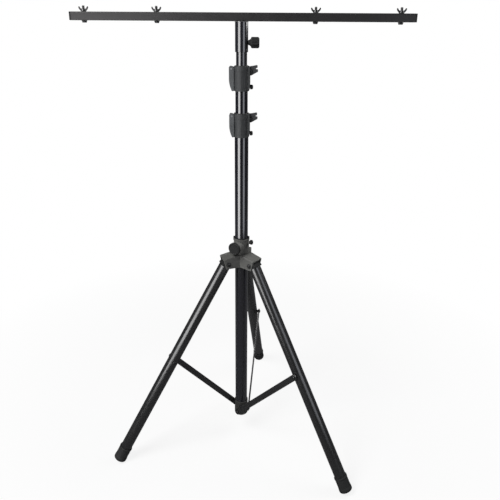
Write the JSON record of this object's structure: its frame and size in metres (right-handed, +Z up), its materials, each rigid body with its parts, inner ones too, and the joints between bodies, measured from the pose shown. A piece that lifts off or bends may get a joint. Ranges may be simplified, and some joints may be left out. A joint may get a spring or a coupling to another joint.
{
  "type": "lighting stand with crossbar",
  "caption": "Black telescopic lighting stand: folding tripod base with flat braces, clamped mast tubes and a square crossbar with bolts and wing nuts for lamps.",
  "frame": {"origin": "on the floor, under the centre of the whole stand's bounding box", "axes": "+Z up along the mast, +X along the crossbar to its right end seen from the front, -Y towards the front"},
  "size_m": [1.066, 0.8177, 1.6063],
  "materials": {
    "gloss_tube": "gloss black",
    "bar_paint": "satin black",
    "leg_paint": "satin black",
    "hub_cast": "painted dark grey",
    "clamp_plastic": "matt",
    "lever_paint": "painted grey",
    "knob_plastic": "matt black",
    "bush_plastic": "plain",
    "foot_rubber": "matt black",
    "black_hardware": "blackened",
    "zinc_steel": "zinc plated"
  },
  "bodies": {
    "mast": {"lower_tube": "gloss_tube", "bottom_hub": "hub_cast", "left_base_bolt": "black_hardware", "right_base_bolt": "black_hardware", "back_base_bolt": "black_hardware", "lower_clamp_body": "clamp_plastic", "lower_clamp_bush": "bush_plastic", "lower_clamp_nut": "knob_plastic", "lower_clamp_pin": "zinc_steel"},
    "leg_hub": {"hub_casting": "hub_cast", "hub_ring": "knob_plastic", "brake_pad": "bush_plastic", "left_pivot_bolt": "black_hardware", "right_pivot_bolt": "black_hardware", "back_pivot_bolt": "black_hardware"},
    "hub_knob": {"hub_knob": "knob_plastic"},
    "hub_thumb_screw": {"hub_thumb_screw": "knob_plastic"},
    "left_leg": {"left_leg_tube": "leg_paint", "left_leg_plug": "knob_plastic", "left_foot": "foot_rubber", "left_rivet": "black_hardware"},
    "left_brace": {"left_brace": "leg_paint", "left_brace_bolt": "black_hardware"},
    "right_leg": {"right_leg_tube": "leg_paint", "right_leg_plug": "knob_plastic", "right_foot": "foot_rubber", "right_rivet": "black_hardware"},
    "right_brace": {"right_brace": "leg_paint", "right_brace_bolt": "black_hardware"},
    "back_leg": {"back_leg_tube": "leg_paint", "back_leg_plug": "knob_plastic", "back_foot": "foot_rubber", "back_rivet": "black_hardware"},
    "back_brace": {"back_brace": "leg_paint", "back_brace_bolt": "black_hardware"},
    "middle_section": {"middle_tube": "gloss_tube", "middle_guide_bush": "bush_plastic", "upper_clamp_body": "clamp_plastic", "upper_clamp_bush": "bush_plastic", "upper_clamp_nut": "knob_plastic", "upper_clamp_pin": "zinc_steel"},
    "top_section": {"top_tube": "gloss_tube", "top_guide_bush": "bush_plastic"},
    "crossbar": {"crossbar_tube": "bar_paint", "end_cap_left": "knob_plastic", "end_cap_right": "knob_plastic", "crossbar_socket": "gloss_tube", "bar_bolt_1": "black_hardware", "bar_bolt_2": "black_hardware", "bar_bolt_3": "black_hardware", "bar_bolt_4": "black_hardware"},
    "wing_nut_1": {"wing_nut_1": "black_hardware"},
    "wing_nut_2": {"wing_nut_2": "black_hardware"},
    "wing_nut_3": {"wing_nut_3": "black_hardware"},
    "wing_nut_4": {"wing_nut_4": "black_hardware"},
    "socket_knob": {"socket_knob": "knob_plastic"},
    "lower_clamp_lever": {"lower_clamp_lever": "lever_paint"},
    "lower_clamp_handle": {"lower_clamp_handle": "clamp_plastic"},
    "upper_clamp_lever": {"upper_clamp_lever": "lever_paint"},
    "upper_clamp_handle": {"upper_clamp_handle": "clamp_plastic"}
  },
  "joints": [
    {"name": "hub_slide", "type": "slide", "parent": "mast", "child": "leg_hub", "axis": [0, 0, 1], "range_m": [0, 0.152]},
    {"name": "left_leg_fold", "type": "hinge", "parent": "leg_hub", "child": "left_leg", "pos_m": [-0.05178, -0.11269, 0.755], "axis": [0.3811, -0.9245, 0], "range_deg": [0, 29.95]},
    {"name": "left_brace_fold", "type": "hinge", "parent": "mast", "child": "left_brace", "pos_m": [-0.01441, -0.06689, 0.1], "axis": [-0.3811, 0.9245, 0], "range_deg": [0, 34.15]},
    {"name": "right_leg_fold", "type": "hinge", "parent": "leg_hub", "child": "right_leg", "pos_m": [0.04437, -0.12552, 0.755], "axis": [0.6101, 0.7923, 0], "range_deg": [0, 29.95]},
    {"name": "right_brace_fold", "type": "hinge", "parent": "mast", "child": "right_brace", "pos_m": [-0.01398, -0.11605, 0.1], "axis": [-0.6101, -0.7923, 0], "range_deg": [0, 34.15]},
    {"name": "back_leg_fold", "type": "hinge", "parent": "leg_hub", "child": "back_leg", "pos_m": [0.00741, -0.03584, 0.755], "axis": [-0.9912, 0.1323, 0], "range_deg": [0, 29.95]},
    {"name": "back_brace_fold", "type": "hinge", "parent": "mast", "child": "back_brace", "pos_m": [0.02838, -0.0911, 0.1], "axis": [0.9912, -0.1323, 0], "range_deg": [0, 34.15]},
    {"name": "middle_slide", "type": "slide", "parent": "mast", "child": "middle_section", "axis": [0, 0, 1], "range_m": [-0.068, 0.85]},
    {"name": "top_slide", "type": "slide", "parent": "middle_section", "child": "top_section", "axis": [0, 0, 1], "range_m": [-0.04, 0.8]},
    {"name": "crossbar_swivel", "type": "hinge", "parent": "top_section", "child": "crossbar", "pos_m": [0, -0.09135, 1.47245], "axis": [0, 0, 1], "continuous": true},
    {"name": "socket_knob_turn", "type": "hinge", "parent": "crossbar", "child": "socket_knob", "pos_m": [0.03, -0.09135, 1.50095], "axis": [1, 0, 0], "continuous": true},
    {"name": "wing_nut_1_turn", "type": "hinge", "parent": "crossbar", "child": "wing_nut_1", "pos_m": [-0.49, -0.09135, 1.58875], "axis": [0, 0, 1], "continuous": true},
    {"name": "wing_nut_2_turn", "type": "hinge", "parent": "crossbar", "child": "wing_nut_2", "pos_m": [-0.263, -0.09135, 1.58875], "axis": [0, 0, 1], "continuous": true},
    {"name": "wing_nut_3_turn", "type": "hinge", "parent": "crossbar", "child": "wing_nut_3", "pos_m": [0.227, -0.09135, 1.58875], "axis": [0, 0, 1], "continuous": true},
    {"name": "wing_nut_4_turn", "type": "hinge", "parent": "crossbar", "child": "wing_nut_4", "pos_m": [0.487, -0.09135, 1.58875], "axis": [0, 0, 1], "continuous": true},
    {"name": "lower_lever_open", "type": "hinge", "parent": "mast", "child": "lower_clamp_lever", "pos_m": [-0.0315, -0.09135, 1.272], "axis": [0, 1, 0], "range_deg": [0, 75]},
    {"name": "lower_handle_turn", "type": "hinge", "parent": "mast", "child": "lower_clamp_handle", "pos_m": [0.0275, -0.09135, 1.266], "axis": [1, 0, 0], "continuous": true},
    {"name": "upper_lever_open", "type": "hinge", "parent": "middle_section", "child": "upper_clamp_lever", "pos_m": [-0.0315, -0.09135, 1.4217], "axis": [0, 1, 0], "range_deg": [0, 75]},
    {"name": "upper_handle_turn", "type": "hinge", "parent": "middle_section", "child": "upper_clamp_handle", "pos_m": [0.0275, -0.09135, 1.4157], "axis": [1, 0, 0], "continuous": true},
    {"name": "hub_knob_turn", "type": "hinge", "parent": "leg_hub", "child": "hub_knob", "pos_m": [-0.0203, -0.12582, 0.814], "axis": [-0.5075, -0.8616, 0], "continuous": true},
    {"name": "hub_thumb_screw_turn", "type": "hinge", "parent": "leg_hub", "child": "hub_thumb_screw", "pos_m": [0, -0.09135, 0.8205], "axis": [0.8996, -0.3635, 0.2419], "continuous": true}
  ],
  "couplings": [
    {"joint": "left_leg_fold", "follows": "hub_slide", "rad_per_m": 3.4385},
    {"joint": "left_brace_fold", "follows": "hub_slide", "rad_per_m": 3.9206},
    {"joint": "right_leg_fold", "follows": "hub_slide", "rad_per_m": 3.4385},
    {"joint": "right_brace_fold", "follows": "hub_slide", "rad_per_m": 3.9206},
    {"joint": "back_leg_fold", "follows": "hub_slide", "rad_per_m": 3.4385},
    {"joint": "back_brace_fold", "follows": "hub_slide", "rad_per_m": 3.9206}
  ]
}
